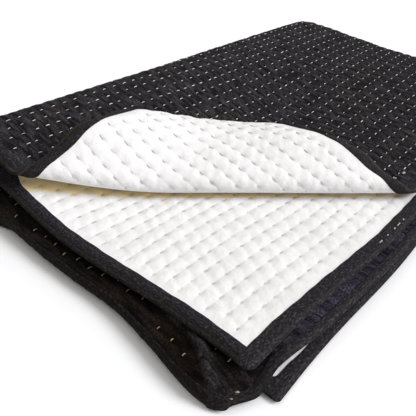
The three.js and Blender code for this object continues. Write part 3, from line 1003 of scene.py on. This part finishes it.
def weave_bump(tree, shader, strength, distance, crumple=None):
    """Slubby plain weave: threads along and across the rows, on crumpled cloth if that is given."""
    both = math_node(tree, "ADD", flat_noise(tree, *WEAVE_ALONG), flat_noise(tree, *WEAVE_ACROSS))
    bump = add_node(tree, "ShaderNodeBump", {"Height": both, "Strength": strength, "Distance": distance})
    if crumple is not None:
        inputs = {"Height": crumple, "Strength": CRUMPLE_STRENGTH, "Distance": CRUMPLE_DEEP}
        creased = add_node(tree, "ShaderNodeBump", inputs)
        tree.links.new(creased.outputs[0], bump.inputs["Normal"])
    tree.links.new(bump.outputs[0], shader.inputs["Normal"])


def black_cloth():
    material, tree, shader = new_material("black slub cotton", roughness=0.95, sheen=0.02, specular=0.06)
    tone = ramp(tree, flat_noise(tree, *BLACK_NOISE), BLACK_TONES)
    streak = ramp(tree, flat_noise(tree, *STREAK_NOISE), STREAK_TONES)
    slub = ramp(tree, flat_noise(tree, *SLUB_NOISE), SLUB_TONES)
    colour = mix_colour(tree, 1.0, tone, streak, "MULTIPLY")
    colour = mix_colour(tree, 1.0, colour, slub, "MULTIPLY")
    # Painted bluish light on the third layer
    colour = mix_colour(tree, point_layer(tree, "blue"), colour, PAINTED_BLUE_LIGHT_COLOUR, "MULTIPLY")
    # Painted shade in the face's creases
    colour = mix_colour(tree, point_layer(tree, "crease"), colour, PAINTED_CREASE_SHADE)
    # Painted brown shade where the third layer hangs, lighter on the pleat
    colour = mix_colour(tree, point_layer(tree, "hung_shade_paint"), colour, PAINTED_SHADE_BROWN, "MULTIPLY")
    tree.links.new(colour, shader.inputs["Base Color"])
    weave_bump(tree, shader, strength=0.5, distance=0.0005)
    return material


def white_cloth():
    material, tree, shader = new_material("warm white cotton", roughness=0.9, sheen=0.0, specular=0.1)
    tone = ramp(tree, flat_noise(tree, *WHITE_NOISE), WHITE_TONES)
    # Painted shade in the reverse's stitch grooves
    groove_shade_part = math_node(tree, "MULTIPLY", point_layer(tree, "dash"), GROOVE_SHADE_SHARE)
    groove_shaded = mix_colour(tree, groove_shade_part, tone, GROOVE_SHADE_COLOUR)
    # Painted warm shade under the roll
    colour = mix_colour(tree, point_layer(tree, "cream"), groove_shaded, PAINTED_CREAM_SHADE_COLOUR)
    tree.links.new(colour, shader.inputs["Base Color"])
    weave_bump(tree, shader, strength=0.3, distance=0.0005, crumple=flat_noise(tree, *CRUMPLE_NOISE))
    return material


def binding_cloth():
    material, tree, shader = new_material("black binding cotton", roughness=0.95, sheen=0.02, specular=0.06)
    tone = ramp(tree, flat_noise(tree, *PATCH_NOISE), BINDING_TONES)
    fleck = ramp(tree, flat_noise(tree, *FLECK_NOISE), FLECK_TONES)
    speckled = mix_colour(tree, 1.0, tone, fleck, "MULTIPLY")
    # Painted highlight along the fold, in patches
    patchy = math_node(tree, "MULTIPLY", point_layer(tree, "wear"), flat_noise(tree, *FOLD_HIGHLIGHT_NOISE))
    highlighted = mix_colour(tree, patchy, speckled, FOLD_HIGHLIGHT_COLOUR)
    # Painted brown shade where the strips hang and on the left strip's outer edge; darker on the rolled
    # corner
    colour = mix_colour(tree, point_layer(tree, "dark"), highlighted, PAINTED_SHADE_BROWN, "MULTIPLY")
    tree.links.new(colour, shader.inputs["Base Color"])
    weave_bump(tree, shader, strength=0.6, distance=0.0006)
    return material


def thread(name, light, dark, warm):
    """Cotton thread, each stitch with its own shade, the hanging ones in a painted warm shade."""
    material, tree, shader = new_material(name, roughness=0.8, sheen=0.0, specular=0.1)
    # The first stop is the painted warm shade of the hanging stitches
    stops = tuple(zip(SHADE_STOPS, (warm, dark, light)))
    colour = ramp(tree, point_layer(tree, "shade"), stops)
    tree.links.new(colour, shader.inputs["Base Color"])
    return material


def add_camera():
    yaw, pitch, roll = CAMERA_YAW, CAMERA_PITCH, CAMERA_ROLL
    ahead = Vector((math.cos(yaw) * math.cos(pitch), math.sin(yaw) * math.cos(pitch), -math.sin(pitch)))
    level = Vector((math.sin(yaw), -math.cos(yaw), 0))
    above = level.cross(ahead)
    right = level * math.cos(roll) + above * math.sin(roll)
    up = above * math.cos(roll) - level * math.sin(roll)
    data = bpy.data.cameras.new("camera")
    data.sensor_width = SENSOR
    data.lens = SENSOR * CAMERA_FOCUS / FRAME_PIXELS
    data.clip_start = CLIP_START
    camera = bpy.data.objects.new("camera", data)
    turn = Matrix((right, up, -ahead)).transposed().to_4x4()
    camera.matrix_world = Matrix.Translation(Vector(CAMERA_PLACE) * MM) @ turn
    bpy.context.scene.collection.objects.link(camera)
    bpy.context.scene.camera = camera


def add_floor():
    mesh = bpy.data.meshes.new("floor")
    corners = [(x * FLOOR_SIZE, y * FLOOR_SIZE, 0) for x, y in ((-1, -1), (1, -1), (1, 1), (-1, 1))]
    mesh.from_pydata(corners, [], [(0, 1, 2, 3)])
    material, _, shader = new_material("pale floor", roughness=0.9, sheen=0, specular=0)
    shader.inputs["Base Color"].default_value = FLOOR_COLOUR
    mesh.materials.append(material)
    floor = bpy.data.objects.new("floor", mesh)
    bpy.context.scene.collection.objects.link(floor)


def add_sun(name, bearing, height, angle, strength, colour):
    """A soft far light. bearing and height give the way to it, in degrees from +X and up."""
    data = bpy.data.lights.new(name, "SUN")
    data.angle = math.radians(angle)
    data.energy = strength
    data.color = colour
    light = bpy.data.objects.new(name, data)
    light.rotation_euler = (0, math.radians(90 - height), math.radians(bearing))
    bpy.context.scene.collection.objects.link(light)


def add_world(strength, colour):
    world = bpy.data.worlds.new("studio")
    world.use_nodes = True
    background = world.node_tree.nodes["Background"]
    background.inputs["Color"].default_value = (*colour, 1)
    background.inputs["Strength"].default_value = strength
    bpy.context.scene.world = world


def build():
    black, white, edge = black_cloth(), white_cloth(), binding_cloth()
    face_places = row_places(FACE_FINE_ROWS, FACE_SHARES)
    back_places = row_places(BACK_FINE_ROWS, BACK_SHARES)
    face = panel("face_cloth", FACE, FACE_STEPS, face_places, black)
    back = panel("back_cloth", REVERSE, BACK_STEPS, back_places, white)
    face_thread = stitches("stitches_face", FACE, thread("white thread", *FACE_THREAD))
    # The reverse's thread is painted grey as shade in its groove
    back_thread = stitches("stitches_back", REVERSE, thread("sunk thread", *BACK_THREAD_IN_PAINTED_SHADE))
    strips = [
        binding("strip_long_a", True, 0, 1, edge),
        binding("strip_long_b", True, WIDTH, -1, edge),
        binding("strip_short_a", False, 0, 1, edge),
        binding("strip_short_b", False, LENGTH, -1, edge),
    ]
    for piece in (face, back, face_thread, back_thread, *strips):
        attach(piece, "root")
    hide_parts("face_panel")
    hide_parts("back_panel")
    for piece in strips:
        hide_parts(piece.name.replace("strip", "binding"))


bpy.context.scene.view_settings.view_transform = "Standard"
add_camera()
add_floor()
add_world(WORLD_STRENGTH, WORLD_COLOUR)
for light in LIGHTS:
    add_sun(*light)
build()
